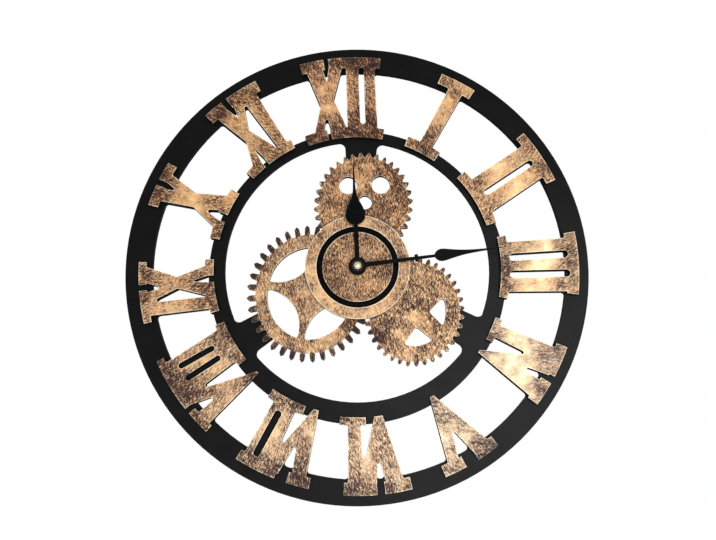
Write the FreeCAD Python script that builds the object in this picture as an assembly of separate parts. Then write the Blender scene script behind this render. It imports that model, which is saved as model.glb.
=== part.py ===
"""Wall clock cut from board: ringed dial, raised numerals, fixed gears and a working movement.

Lengths are in millimetres and angles in degrees.  X points right, Z points up and the clock
faces -Y.  The origin lies on the hand axis in the plane of the wall.  Dial angles run clockwise
from twelve o'clock, as seen from the front.
"""
import FreeCAD, Part
import math
import os

Vector = FreeCAD.Vector
full_turn = 360.0
half_turn = 180.0

# Board and dial
dial_radius = 200.0
board_thickness = 6.0
overlay_thickness = 5.0
outer_ring_width = 21.6
outer_ring_inner_shift = 1.7
inner_ring_share = 0.641
inner_ring_width = 13.7
inner_ring_outer_drop = 4.7
tab_length = 24.5
tab_end_width = 25.0
tab_root_width = 29.0
tab_fillet = 5.0
tab_angles = (1.7, 119.5, 237.7)
backing_fillet = 2.5

# Numerals
head_line_share = 0.89
foot_line_share = 0.655
head_bar_share = 0.905
inside_corner_radius = 1.5
numeral_slot_width = 5.5
straight_share = 0.999
flat_corner_angle = 165.0
fillet_share = 0.48
tip_round_share = 0.25

# Fixed gears
gear_lean = 8.0
gear_teeth = 36
gear_gap = 0.3
window_corner_radius = 2.0

# Centre of the dial
centre_disc_radius = 45.0
centre_disc_thickness = 3.0
centre_layer_thickness = 2.0
centre_rim_inner_radius = 35.2
centre_plate_radius = 30.2

# Movement case
case_width = 56.0
case_depth = 17.0
case_wall = 1.2
case_corner_radius = 3.0
bay_wall_thickness = 1.0
bay_wall_height = -11.0
hanger_width = 16.0
hanger_height = 10.0
hanger_thickness = 2.0
hanger_hole_radius = 3.5
hanger_hole_height = 33.0
cover_thickness = 1.2
knob_opening_clearance = 0.3

# Bush and its fixings
bush_radius = 4.0
bush_chamfer = 0.5
washer_thickness = 1.0
washer_radius = 14.0
spacer_radius = 14.0
brass_washer_radius = 8.0
brass_washer_thickness = 0.5
nut_across_flats = 12.0
nut_thickness = 1.8
bush_proud = 0.3

# Hands
hand_thickness = 0.8
hour_hand_length = 89.5
hour_hand_turn = -2.5
hour_hub_radius = 7.8
minute_hand_length = 124.6
minute_hand_turn = 82.6
minute_hub_radius = 6.2
minute_collar_radius = 4.6
minute_collar_height = 0.5
hand_collet_radius = 3.8
hand_collet_height = 0.6
hand_gap = 0.3
hand_spacing = 1.0
cap_radius = 3.4
cap_height = 2.2
cap_dome_share = 0.75

# Arbors and running fits
running_clearance = 0.05
minute_arbor_radius = 1.75
hour_tube_wall = 0.8
pivot_radius = 0.4
pivot_length = 1.0
journal_radius = 1.0
boss_wall = 0.75
pinion_arbor_radius = 0.6
end_shake = 0.1

# Wheels of the movement
wheel_thickness = 0.8
level_gap = 0.4
motion_distance = 12.0
motion_angle = 300.0
knob_angle = 320.0
third_distance = 11.5
third_angle = 0.0
fifth_distance = 9.0
fifth_angle = 100.0
rotor_distance = 8.4
rotor_angle = 55.0
stud_radius = 1.0
hub_radius = 1.6
tooth_height_share = 0.8
tooth_root_share = 1.0
tooth_tip_share = 0.16
tooth_base_share = 0.50
fewest_pointed_teeth = 30

cannon_teeth = 12
minute_wheel_teeth = 36
minute_pinion_teeth = 10
hour_wheel_teeth = 40
knob_pinion_teeth = 12
centre_wheel_teeth = 64
third_pinion_teeth = 8
third_wheel_teeth = 60
second_pinion_teeth = 8
second_wheel_teeth = 50
fifth_pinion_teeth = 10
fifth_wheel_teeth = 48
rotor_pinion_teeth = 8

knob_radius = 5.0
knob_thickness = 2.0
knob_recess = 0.4
knob_ribs = 18
knob_rib_depth = 0.4
knob_shaft_radius = 1.2

# Plates and pillars
plate_thickness = 1.0
pillar_radius = 1.5
pillar_left = -12.0
pillar_right = 14.5
pillar_low = -8.3
pillar_high = 21.5
pillar_rim = 0.7
plate_right = 24.0
bridge_right = 19.0

# Stepping motor
magnet_radius = 2.6
magnet_thickness = 2.4
stator_gap = 0.5
stator_thickness = 1.0
stator_half_width = 4.1
stator_arm_width = 3.0
coil_x = 23.4
coil_low = -4.5
coil_high = 13.5
coil_radius = 2.8
coil_flange_radius = 3.2
coil_flange_thickness = 0.8
core_width = 2.4
core_overhang = 3.4
core_thickness = 1.2

# Circuit
circuit_width = 11.5
circuit_height = 11.0
circuit_thickness = 0.8
circuit_x = -20.4
circuit_z = -4.0
post_radius = 1.0
chip_radius = 2.4
chip_height = 0.9
crystal_radius = 1.0
crystal_length = 6.0

# Battery and contacts
battery_radius = 7.1
battery_length = 50.5
battery_nub_radius = 2.7
battery_nub_length = 1.2
battery_z = -19.3
battery_edge = 0.5
battery_front_gap = 0.3
contact_thickness = 0.3
contact_width = 8.0
contact_height = 9.0
contact_strip_width = 3.0
contact_leaf_width = 5.0
strip_tab = 2.0
contact_notch = 0.6

# Rings of the dial, and the circles at which the numerals' angles are read
outer_ring_inner_radius = dial_radius - outer_ring_width
inner_ring_outer_radius = dial_radius * inner_ring_share
inner_ring_inner_radius = inner_ring_outer_radius - inner_ring_width
tab_end_radius = inner_ring_inner_radius - tab_length
head_line_radius = dial_radius * head_line_share
foot_line_radius = dial_radius * foot_line_share
head_bar_inner_radius = dial_radius * head_bar_share

# Depths in front of the wall, from back to front
case_inside = case_depth - case_wall
board_back = case_depth + washer_thickness - board_thickness
board_front = board_back + board_thickness
overlay_front = board_front + overlay_thickness
centre_disc_front = overlay_front + centre_disc_thickness
centre_front = centre_disc_front + centre_layer_thickness
brass_washer_front = centre_front + brass_washer_thickness
nut_front = brass_washer_front + nut_thickness
bush_front = nut_front + bush_proud
hour_hand_back = bush_front + hand_gap + hand_collet_height
hour_hand_front = hour_hand_back + hand_thickness
minute_hand_back = hour_hand_front + hand_spacing
minute_hand_front = minute_hand_back + hand_thickness
cap_back = minute_hand_front + minute_collar_height

# Depths of the wheels inside the case, from front to back
hour_level = case_inside - level_gap
cannon_level = hour_level - wheel_thickness - level_gap
centre_level = cannon_level - wheel_thickness - level_gap
middle_plate_front = centre_level - wheel_thickness - level_gap
middle_plate_back = middle_plate_front - plate_thickness
third_level = middle_plate_back - level_gap
second_level = third_level - wheel_thickness - level_gap
fifth_level = second_level - wheel_thickness - level_gap
magnet_level = fifth_level - wheel_thickness - level_gap
bridge_front = magnet_level - magnet_thickness - level_gap
bridge_back = bridge_front - plate_thickness

# Fits that follow from the sizes above
hour_tube_inner_radius = minute_arbor_radius + running_clearance
hour_tube_radius = hour_tube_inner_radius + hour_tube_wall
bush_inner_radius = hour_tube_radius + running_clearance


def polar(radius, angle):
    """Point of the dial plane at a clockwise angle from twelve o'clock."""
    turn = math.radians(angle)
    return Vector(radius * math.sin(turn), 0, radius * math.cos(turn))


def face_of(edges_or_points):
    """Flat face inside a closed chain of points or of edges."""
    if isinstance(edges_or_points[0], Vector):
        ring = list(edges_or_points) + [edges_or_points[0]]
        return Part.Face(Part.makePolygon(ring))
    return Part.Face(Part.Wire(edges_or_points))


def slab(face, back, front):
    """Board cut to a face drawn in the wall plane, between two depths."""
    solid = face.extrude(Vector(0, back - front, 0))
    solid.translate(Vector(0, -back, 0))
    return solid


def rod(radius, back, front, centre=Vector(0, 0, 0)):
    """Cylinder along the depth of the clock."""
    base = Vector(centre.x, -back, centre.z)
    return Part.makeCylinder(radius, front - back, base, Vector(0, -1, 0))


def tube(radius, inner_radius, back, front, centre=Vector(0, 0, 0)):
    """Hollow cylinder along the depth of the clock."""
    return rod(radius, back, front, centre).cut(rod(inner_radius, back, front, centre))


def block(x_low, x_high, z_low, z_high, back, front):
    """Rectangular block given by its limits."""
    return Part.makeBox(x_high - x_low, front - back, z_high - z_low, Vector(x_low, -front, z_low))


def fuse_all(shapes):
    """One clean solid out of several that touch or overlap."""
    return shapes[0].multiFuse(shapes[1:]).removeSplitter()


def wall_pairs(solid):
    """Straight edges along the depth, each with the two walls that meet there."""
    walls = {}
    for face in solid.Faces:
        for edge in face.Edges:
            walls.setdefault(edge.hashCode(), []).append((edge, face))
    pairs = []
    for group in walls.values():
        edge = group[0][0]
        ends = [vertex.Point for vertex in edge.Vertexes]
        if len(ends) != 2 or group[0][1].isSame(group[-1][1]):
            continue
        if abs((ends[1] - ends[0]).y) > straight_share * edge.Length:
            pairs.append((edge, group[0][1], group[-1][1]))
    return pairs


def round_corners(solid, radius, inside, reach=None):
    """Round the inside or the outside corners whose walls are long enough for the radius."""
    chosen = []
    for edge, first, second in wall_pairs(solid):
        middle = edge.CenterOfMass
        if reach is not None and not reach(math.hypot(middle.x, middle.z)):
            continue
        along_first = (first.CenterOfMass - middle).normalize()
        along_second = (second.CenterOfMass - middle).normalize()
        opening = along_first.getAngle(along_second)
        if opening > math.radians(flat_corner_angle):
            continue
        outward = first.normalAt(*first.Surface.parameter(middle))
        width = min(first.Area, second.Area) / edge.Length
        hollow = outward.dot(along_second) > 0
        if hollow == inside and radius / math.tan(opening / 2) < fillet_share * width:
            chosen.append(edge)
    return solid.makeFillet(radius, chosen) if chosen else solid


def ring_sector(inner, outer, start, end):
    """Face between two radii and two dial angles."""
    middle = (start + end) / 2
    far = Part.Arc(polar(outer, start), polar(outer, middle), polar(outer, end)).toShape()
    near = Part.Arc(polar(inner, end), polar(inner, middle), polar(inner, start)).toShape()
    side = Part.makeLine(polar(outer, end), polar(inner, end))
    closing = Part.makeLine(polar(inner, start), polar(outer, start))
    return face_of([far, side, near, closing])


def on_line(head_angle, foot_angle, radius):
    """Point at a radius on the line that passes the head and foot reading circles."""
    head = polar(head_line_radius, head_angle)
    foot = polar(foot_line_radius, foot_angle)
    share = (head_line_radius - radius) / (head_line_radius - foot_line_radius)
    return head + (foot - head) * share


def slot_tool(head_angle, foot_angle, width, top, bottom, back, front):
    """Round-ended slot along a line between two radii."""
    start = on_line(head_angle, foot_angle, top - width / 2)
    end = on_line(head_angle, foot_angle, bottom + width / 2)
    side = (end - start).normalize().cross(Vector(0, 1, 0)) * (width / 2)
    body = slab(face_of([start + side, end + side, end - side, start - side]), back, front)
    rounds = [rod(width / 2, back, front, start), rod(width / 2, back, front, end)]
    return fuse_all([body] + rounds)


# Each numeral: the shares of the dial radius at which it ends outside, ends inside and where its
# foot bars begin, then the dial angles of its head bars and foot bars.  A stem lists the angles
# of its two sides at the head line and at the foot line.  A vee adds the angle and radius share
# of its notch, an ex those of its notches and its waists.  A slot lists the angle of its middle
# at both lines, its width share and the radius shares of its ends.
numerals = {
    "xii": {
        "ends_shares": (0.953, 0.583, 0.630),
        "heads": ((-15.7, -9.3), (-8.0, 6.2)),
        "feet": ((-21.5, -12.3), (-11.0, 10.7)),
        "stems": ((-3.3, 4.9, -3.9, 7.6),),
        "exes": ((-14.6, -10.2, (-9.2, 0.850), -7.8, -4.0, (-8.0, 0.765),
                  -3.6, -10.3, (-11.3, 0.705), -14.3, -18.4, (-12.65, 0.745)),),
        "slots": ((1.05, 2.1, 0.9, 0.905, 0.645),),
        "open": True,
    },
    "i": {
        "ends_shares": (0.953, 0.582, 0.628),
        "heads": ((23.2, 33.0),),
        "feet": ((20.8, 35.2),),
        "stems": ((26.6, 30.8, 26.2, 31.2),),
    },
    "ii": {
        "ends_shares": (0.948, 0.590, 0.635),
        "heads": ((50.5, 65.6),),
        "feet": ((47.5, 71.5),),
        "stems": ((53.0, 63.6, 51.9, 66.5),),
        "slots": ((58.35, 59.15, 1.0, 0.900, 0.645),),
        "open": True,
    },
    "iii": {
        "ends_shares": (0.953, 0.618, 0.655),
        "heads": ((80.3, 96.9),),
        "feet": ((77.4, 101.6),),
        "stems": ((81.5, 96.5, 80.0, 99.0),),
        "slots": ((86.0, 85.9, 1.15, 0.910, 0.656), (91.4, 92.4, 1.15, 0.915, 0.656)),
        "open": True,
    },
    "iv": {
        "ends_shares": (0.953, 0.626, 0.656),
        "heads": ((111.0, 119.2), (121.2, 127.6)),
        "feet": ((110.0, 119.3),),
        "stems": ((112.2, 117.0, 112.3, 117.0),),
        "vees": ((115.4, 119.6, (121.3, 0.790), 122.1, 126.9, 125.6, 122.9),),
    },
    "v": {
        "ends_shares": (0.953, 0.630, 0.660),
        "heads": ((142.0, 148.1), (151.6, 157.4)),
        "feet": (),
        "vees": ((143.5, 148.0, (150.1, 0.782), 152.7, 155.3, 151.7, 148.8),),
    },
    "vi": {
        "ends_shares": (0.956, 0.636, 0.670),
        "heads": ((166.2, 173.0), (175.0, 183.5)),
        "feet": ((177.0, 186.5),),
        "stems": ((178.2, 182.5, 179.0, 183.6),),
        "vees": ((168.0, 172.3, (173.7, 0.795), 175.2, 179.0, 174.2, 170.3),),
    },
    "vii": {
        "ends_shares": (0.950, 0.628, 0.668),
        "heads": ((192.3, 198.2), (201.4, 212.1)),
        "feet": ((200.2, 214.4),),
        "stems": ((203.6, 211.1, 203.3, 211.7),),
        "vees": ((193.7, 197.2, (198.9, 0.775), 200.9, 204.6, 198.0, 194.8),),
        "slots": ((208.2, 208.2, 1.1, 0.900, 0.690),),
    },
    "viii": {
        "ends_shares": (0.938, 0.613, 0.655),
        "heads": ((222.3, 228.7), (230.2, 244.6)),
        "feet": ((230.2, 247.6),),
        "stems": ((232.2, 243.3, 232.1, 245.6),),
        "vees": ((223.2, 227.2, (227.1, 0.795), 230.4, 233.2, 225.7, 222.8),),
        "slots": ((236.5, 236.6, 0.9, 0.865, 0.695), (240.5, 240.6, 0.9, 0.865, 0.695)),
    },
    "ix": {
        "ends_shares": (0.938, 0.618, 0.656),
        "heads": ((255.0, 263.7), (265.3, 271.4)),
        "feet": ((252.5, 264.3), (266.9, 273.2)),
        "stems": ((256.6, 260.2, 254.3, 259.0),),
        "exes": ((259.8, 262.9, (264.1, 0.835), 266.0, 270.4, (267.0, 0.775),
                  271.3, 267.1, (265.2, 0.715), 264.2, 258.6, (263.3, 0.775)),),
    },
    "x": {
        "ends_shares": (0.948, 0.608, 0.650),
        "heads": ((287.0, 292.7), (294.3, 299.3)),
        "feet": ((281.7, 289.1), (292.3, 302.3)),
        "exes": ((288.7, 292.1, (293.3, 0.855), 294.7, 297.1, (295.1, 0.775),
                  300.1, 293.6, (291.1, 0.712), 289.0, 285.2, (290.5, 0.760)),),
    },
    "xi": {
        "ends_shares": (0.955, 0.600, 0.642),
        "heads": ((315.4, 320.8), (322.4, 331.6)),
        "feet": ((311.0, 318.0), (320.0, 332.8)),
        "stems": ((325.9, 330.1, 326.9, 330.9),),
        "exes": ((316.9, 320.5, (322.1, 0.845), 323.0, 326.6, (322.0, 0.780),
                  327.3, 320.2, (319.6, 0.700), 317.9, 313.3, (318.9, 0.745)),),
    },
}


def stem_face(sides, head, foot):
    """Straight stroke between its two bars."""
    head_start, head_end, foot_start, foot_end = sides
    return face_of([
        on_line(head_start, foot_start, head),
        on_line(head_end, foot_end, head),
        on_line(head_end, foot_end, foot),
        on_line(head_start, foot_start, foot),
    ])


def spot(place):
    """Point given by a dial angle and a share of the dial radius."""
    return polar(place[1] * dial_radius, place[0])


def vee_face(vee, head, tip):
    """Two legs that meet in a blunt point on the inner ring."""
    left, left_inside, notch, right_inside, right, tip_right, tip_left = vee
    return face_of([
        on_line(left, tip_left, head),
        polar(head, left_inside),
        spot(notch),
        polar(head, right_inside),
        on_line(right, tip_right, head),
        on_line(right, tip_right, tip),
        on_line(left, tip_left, tip),
    ])


def ex_face(ex, head, foot):
    """Two crossing strokes with open notches at both ends."""
    points = []
    for place in ex[:6]:
        points.append(spot(place) if isinstance(place, tuple) else polar(head, place))
    for place in ex[6:]:
        points.append(spot(place) if isinstance(place, tuple) else polar(foot, place))
    return face_of(points)


def numeral_blank(numeral, back, front):
    """Numeral without its slots."""
    head, foot, foot_top = [share * dial_radius for share in numeral["ends_shares"]]
    head_middle = (head + head_bar_inner_radius) / 2
    foot_middle = (foot + foot_top) / 2
    faces = [ring_sector(head_bar_inner_radius, head, *bar) for bar in numeral["heads"]]
    faces += [ring_sector(foot, foot_top, *bar) for bar in numeral["feet"]]
    faces += [stem_face(stem, head_middle, foot_middle) for stem in numeral.get("stems", ())]
    faces += [vee_face(vee, head_middle, foot) for vee in numeral.get("vees", ())]
    faces += [ex_face(ex, head_middle, foot_middle) for ex in numeral.get("exes", ())]
    blank = fuse_all([slab(face, back, front) for face in faces])
    return round_corners(blank, inside_corner_radius, True)


def cut_slots(solid, numeral, back, front):
    """Cut the round-ended slots of a numeral."""
    for head_angle, foot_angle, width_share, top_share, bottom_share in numeral.get("slots", ()):
        solid = solid.cut(slot_tool(head_angle, foot_angle, width_share * numeral_slot_width,
                                    top_share * dial_radius, bottom_share * dial_radius,
                                    back, front))
    return solid


def tab_blank(angle):
    """Tab that reaches in from the inner ring to carry a gear."""
    root = (inner_ring_inner_radius + inner_ring_outer_radius) / 2
    across = polar(1, angle).cross(Vector(0, 1, 0))
    tip = polar(tab_end_radius, angle)
    base = polar(inner_ring_inner_radius, angle)
    end = polar(root, angle)
    face = face_of([
        tip - across * (tab_end_width / 2),
        base - across * (tab_root_width / 2),
        end - across * (tab_root_width / 2),
        end + across * (tab_root_width / 2),
        base + across * (tab_root_width / 2),
        tip + across * (tab_end_width / 2),
    ])
    return slab(face, board_back, board_front)


def dial_board(blanks):
    """Rings, numeral backings and tabs, all cut from one board."""
    outer_hole = rod(outer_ring_inner_radius, board_back, board_front,
                     Vector(outer_ring_inner_shift, 0, 0))
    outer_ring = rod(dial_radius, board_back, board_front).cut(outer_hole)
    inner_ring = rod(inner_ring_outer_radius, board_back, board_front,
                     Vector(0, 0, -inner_ring_outer_drop))
    inner_ring = inner_ring.cut(rod(inner_ring_inner_radius, board_back, board_front))
    tabs = [tab_blank(angle) for angle in tab_angles]
    board = fuse_all([outer_ring, inner_ring] + blanks + tabs)
    board = round_corners(
        board, tab_fillet, True,
        lambda reach: inner_ring_inner_radius - tab_fillet < reach < inner_ring_inner_radius + tab_fillet)
    return round_corners(
        board, backing_fillet, True,
        lambda reach: abs(reach - outer_ring_inner_radius) < outer_ring_inner_shift + backing_fillet)


# Fixed gears: centre as shares of the dial radius, half width and half height over the tips,
# tooth height, tooth widths at tip and base as shares of the pitch, and turn of the first tooth.
fixed_gears = {
    "top_gear": {
        "centre_shares": (0.0255, 0.2785),
        "half_shares": (0.2155, 0.2363),
        "tooth_share": 0.096,
        "width_shares": (0.30, 0.74),
        "turn": -103.9,
        "holes_shares": ((-0.0415, 0.3645, 0.0385), (0.1005, 0.3675, 0.0395),
                         (0.0320, 0.2880, 0.0305)),
    },
    "left_gear": {
        "centre_shares": (-0.2039, -0.1104),
        "half_shares": (0.2700, 0.2975),
        "tooth_share": 0.140,
        "width_shares": (0.42, 0.60),
        "turn": 156.2,
        "windows": ((326.0, 80.0), (236.0, 80.0), (146.0, 80.0)),
        "window_shares": (0.67, 0.31),
    },
    "right_gear": {
        "centre_shares": (0.2424, -0.1882),
        "half_shares": (0.2143, 0.2352),
        "tooth_share": 0.098,
        "width_shares": (0.38, 0.66),
        "turn": 17.1,
        "corners": ((91.0, 50.0), (172.0, 54.0)),
        "window_shares": (0.63, 0.29),
    },
}


def gear_place(gear, share, turn, grow=0.0):
    """Point of a fixed gear, whose artwork is taller than wide along the leaning axis."""
    centre = Vector(gear["centre_shares"][0] * dial_radius, 0, gear["centre_shares"][1] * dial_radius)
    wide = gear["half_shares"][0] * dial_radius * share + grow
    high = gear["half_shares"][1] * dial_radius * share + grow
    phase = math.radians(turn - gear_lean)
    along = polar(high * math.cos(phase), gear_lean)
    beside = polar(wide * math.sin(phase), gear_lean + 90)
    return centre + along + beside


def gear_outline(gear, grow=0.0):
    """Toothed outline with blunt tips, widened all round by the amount asked for."""
    pitch = full_turn / gear_teeth
    root_share = 1 - gear["tooth_share"]
    reach = gear["half_shares"][0] * dial_radius
    widen = math.degrees(grow / reach)
    half_tip = gear["width_shares"][0] * pitch / 2 + widen
    half_base = gear["width_shares"][1] * pitch / 2 + widen
    shoulder_share = 1 - gear["tooth_share"] * tip_round_share
    points = []
    for number in range(gear_teeth):
        middle = gear["turn"] + number * pitch
        base_start = gear_place(gear, root_share, middle - half_base, grow)
        tip_start = gear_place(gear, shoulder_share, middle - half_tip, grow)
        crown = gear_place(gear, 1, middle, grow)
        tip_end = gear_place(gear, shoulder_share, middle + half_tip, grow)
        base_end = gear_place(gear, root_share, middle + half_base, grow)
        points += [base_start, tip_start, crown, tip_end, base_end]
    return face_of(points)


def lens_window(gear, middle, spread):
    """Window between the rim and an arc that bulges towards the middle of the gear."""
    rim, bulge = gear["window_shares"]
    start = gear_place(gear, rim, middle - spread / 2)
    end = gear_place(gear, rim, middle + spread / 2)
    far = Part.Arc(start, gear_place(gear, rim, middle), end).toShape()
    near = Part.Arc(end, gear_place(gear, bulge, middle), start).toShape()
    return face_of([far, near])


def corner_window(gear, middle, spread):
    """Three-cornered window with its point towards the middle of the gear."""
    rim, point = gear["window_shares"]
    start = gear_place(gear, rim, middle - spread / 2)
    end = gear_place(gear, rim, middle + spread / 2)
    tip = gear_place(gear, point, middle)
    far = Part.Arc(start, gear_place(gear, rim, middle), end).toShape()
    return face_of([far, Part.makeLine(end, tip), Part.makeLine(tip, start)])


def fixed_gear(name, room):
    """One fixed gear with its windows, cut clear of its neighbours; loose tooth tips fall away."""
    gear = fixed_gears[name]
    solid = slab(gear_outline(gear), board_front, overlay_front)
    windows = [lens_window(gear, *place) for place in gear.get("windows", ())]
    windows += [corner_window(gear, *place) for place in gear.get("corners", ())]
    for window in windows:
        tool = round_corners(slab(window, board_front, overlay_front), window_corner_radius, False)
        solid = solid.cut(tool)
    for across_share, up_share, radius_share in gear.get("holes_shares", ()):
        centre = Vector(across_share * dial_radius, 0, up_share * dial_radius)
        solid = solid.cut(rod(radius_share * dial_radius, board_front, overlay_front, centre))
    return max(solid.cut(room).Solids, key=lambda piece: piece.Volume)


def toothed(teeth, module, turn, front, centre=Vector(0, 0, 0)):
    """Small gear with straight-sided teeth, pointed on a wheel; one tooth points at the turn."""
    pitch = full_turn / teeth
    root = module * (teeth / 2 - tooth_root_share)
    tip = module * (teeth / 2 + tooth_height_share)
    tips = (0,) if teeth >= fewest_pointed_teeth else (-tooth_tip_share / 2, tooth_tip_share / 2)
    points = []
    for number in range(teeth):
        middle = turn + number * pitch
        points.append(centre + polar(root, middle - pitch * tooth_base_share / 2))
        points += [centre + polar(tip, middle + pitch * side) for side in tips]
        points.append(centre + polar(root, middle + pitch * tooth_base_share / 2))
    return slab(face_of(points), front - wheel_thickness, front)


def module_for(distance, first_teeth, second_teeth):
    """Tooth size of a pair from the distance between its axes."""
    return 2 * distance / (first_teeth + second_teeth)


def meshing_turn(turn, teeth, other_teeth, direction):
    """Turn of a second gear so that a gap of it faces a tooth of the first."""
    pitch = full_turn / teeth
    offset = ((direction - turn) / pitch) % 1
    opposite = direction + half_turn
    return opposite + (offset + 0.5) * full_turn / other_teeth


def rounded_plate(x_low, x_high, z_low, z_high, back, front, radius):
    """Plate with its four corners rounded."""
    plate = block(x_low, x_high, z_low, z_high, back, front)
    corners = [edge for edge in plate.Edges if abs(edge.tangentAt(edge.FirstParameter).y) > straight_share]
    return plate.makeFillet(radius, corners)


# Axes of the movement
motion_centre = polar(motion_distance, motion_angle)
knob_centre = motion_centre + polar(motion_distance, knob_angle)
third_centre = polar(third_distance, third_angle)
fifth_centre = polar(fifth_distance, fifth_angle)
rotor_centre = fifth_centre + polar(rotor_distance, rotor_angle)
battery_depth = case_inside - battery_front_gap - battery_radius
half_inside = case_width / 2 - case_wall
circuit_front = battery_depth
circuit_back = circuit_front - circuit_thickness
plate_pillars = (Vector(pillar_left, 0, pillar_low), Vector(pillar_left, 0, pillar_high),
                 Vector(pillar_right, 0, pillar_high))


def bearing(centre):
    """Socket on the front wall that holds the end of an arbor."""
    return rod(pivot_radius + running_clearance + boss_wall, centre_level + end_shake,
               case_inside, centre)


def movement_case():
    """Front shell with the hanging tab, battery bay, pillars and bearings."""
    half = case_width / 2
    shell = rounded_plate(-half, half, -half, half, 0, case_depth, case_corner_radius)
    hollow = block(-half_inside, half_inside, -half_inside, half_inside, 0, case_inside)
    tab = rounded_plate(-hanger_width / 2, hanger_width / 2, half - hanger_height,
                        half + hanger_height, 0, hanger_thickness, case_corner_radius)
    tab = tab.cut(hollow)
    tab = tab.cut(rod(hanger_hole_radius, 0, hanger_thickness, Vector(0, 0, hanger_hole_height)))
    wall = block(-half_inside, half_inside, bay_wall_height - bay_wall_thickness, bay_wall_height,
                 0, case_inside)
    for side in (-half_inside, half_inside - contact_notch):
        wall = wall.cut(block(side, side + contact_notch, bay_wall_height - bay_wall_thickness,
                              bay_wall_height, battery_depth - contact_strip_width,
                              battery_depth + contact_strip_width))
    pillars = [rod(pillar_radius, middle_plate_front, case_inside, place)
               for place in plate_pillars + (Vector(pillar_right, 0, pillar_low),)]
    stud = rod(stud_radius, centre_level + end_shake, case_inside, motion_centre)
    socket_radius = knob_shaft_radius + running_clearance
    knob_socket = rod(socket_radius + boss_wall, cannon_level + level_gap, case_inside, knob_centre)
    knob_room = rod(socket_radius, cannon_level + level_gap, case_inside, knob_centre)
    third_room = rod(pivot_radius + running_clearance, centre_level + end_shake, case_inside,
                     third_centre)
    posts = [rod(post_radius, circuit_front, case_inside,
                 Vector(circuit_x + side * (circuit_width / 2 - 2 * post_radius), 0,
                        circuit_z - side * (circuit_height / 2 - 2 * post_radius)))
             for side in (-1, 1)]
    case = fuse_all([shell.cut(hollow), tab, wall, stud, knob_socket, bearing(third_centre)]
                    + pillars + posts)
    case = case.cut(knob_room).cut(third_room)
    return case.cut(rod(bush_radius, case_inside, case_depth))


def back_cover():
    """Cover over the wheels; the battery bay below it stays open."""
    cover = block(-half_inside, half_inside, bay_wall_height, half_inside, 0, cover_thickness)
    return cover.cut(rod(knob_radius + knob_opening_clearance, 0, cover_thickness, knob_centre))


def bush():
    """Threaded bush, drawn at its outer diameter, with a chamfered end."""
    body = rod(bush_radius, case_inside, bush_front)
    rim = [edge for edge in body.Edges
           if len(edge.Vertexes) == 1 and abs(edge.CenterOfMass.y + bush_front) < bush_chamfer]
    return body.makeChamfer(bush_chamfer, rim).cut(rod(bush_inner_radius, case_inside, bush_front))


def hex_nut():
    """Six-sided nut that clamps the dial against the case."""
    corner = nut_across_flats / math.sqrt(3)
    face = face_of([polar(corner, 60 * side) for side in range(6)])
    return slab(face, brass_washer_front, nut_front).cut(
        rod(bush_radius, brass_washer_front, nut_front))


# Hands: shares of the length from the axis, and half widths as shares of the length.
hour_stations_shares = (
    (0.405, 0.022), (0.420, 0.058), (0.450, 0.084), (0.500, 0.095), (0.555, 0.083),
    (0.605, 0.060), (0.655, 0.036), (0.710, 0.019), (0.790, 0.012), (0.890, 0.008),
    (1.000, 0.004),
)
minute_stations_shares = (
    (0.530, 0.009), (0.540, 0.025), (0.558, 0.038), (0.582, 0.0425), (0.625, 0.036),
    (0.680, 0.025), (0.740, 0.016), (0.800, 0.011), (0.880, 0.007), (1.000, 0.0025),
)
hour_shaft_shares = (0.023, 0.020)
minute_shaft_shares = (0.0175, 0.0095)
hour_bead_shares = (0.292, 0.029, 0.013)
minute_bead_shares = (0.405, 0.026, 0.012)


def hand(length, turn, stations, shaft, bead, back):
    """Spade hand cut from sheet, with its shaft and bead."""
    def place(along, across):
        return polar(along * length, turn) + polar(across * length, turn + 90)

    right = Part.BSplineCurve()
    right.interpolate([place(along, across) for along, across in stations])
    left = Part.BSplineCurve()
    left.interpolate([place(along, -across) for along, across in reversed(stations)])
    tip, tip_half = stations[-1]
    neck, neck_half = stations[0]
    blade = face_of([right.toShape(), Part.makeLine(place(tip, tip_half), place(tip, -tip_half)),
                     left.toShape(), Part.makeLine(place(neck, -neck_half), place(neck, neck_half))])
    overlap = neck + neck_half
    rod_face = face_of([place(0, shaft[0]), place(overlap, shaft[1]), place(overlap, -shaft[1]),
                        place(0, -shaft[0])])
    bead_along, bead_half, bead_reach = bead
    bead_face = face_of([place(bead_along - bead_reach, bead_half),
                         place(bead_along + bead_reach, bead_half),
                         place(bead_along + bead_reach, -bead_half),
                         place(bead_along - bead_reach, -bead_half)])
    return [slab(face, back, back + hand_thickness) for face in (blade, rod_face, bead_face)]


def hour_hand():
    """Hour hand with its hub and collet, pressed on the hour tube."""
    pieces = hand(hour_hand_length, hour_hand_turn, hour_stations_shares, hour_shaft_shares,
                  hour_bead_shares, hour_hand_back)
    pieces.append(rod(hour_hub_radius, hour_hand_back, hour_hand_front))
    pieces.append(rod(hand_collet_radius, hour_hand_back - hand_collet_height, hour_hand_back))
    return fuse_all(pieces).cut(
        rod(hour_tube_radius, hour_hand_back - hand_collet_height, hour_hand_front))


def minute_hand():
    """Minute hand with its raised collar, held on the arbor by the cap."""
    pieces = hand(minute_hand_length, minute_hand_turn, minute_stations_shares,
                  minute_shaft_shares, minute_bead_shares, minute_hand_back)
    pieces.append(rod(minute_hub_radius, minute_hand_back, minute_hand_front))
    pieces.append(rod(minute_collar_radius, minute_hand_front, cap_back))
    return fuse_all(pieces).cut(rod(minute_arbor_radius, minute_hand_back, cap_back))


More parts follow.
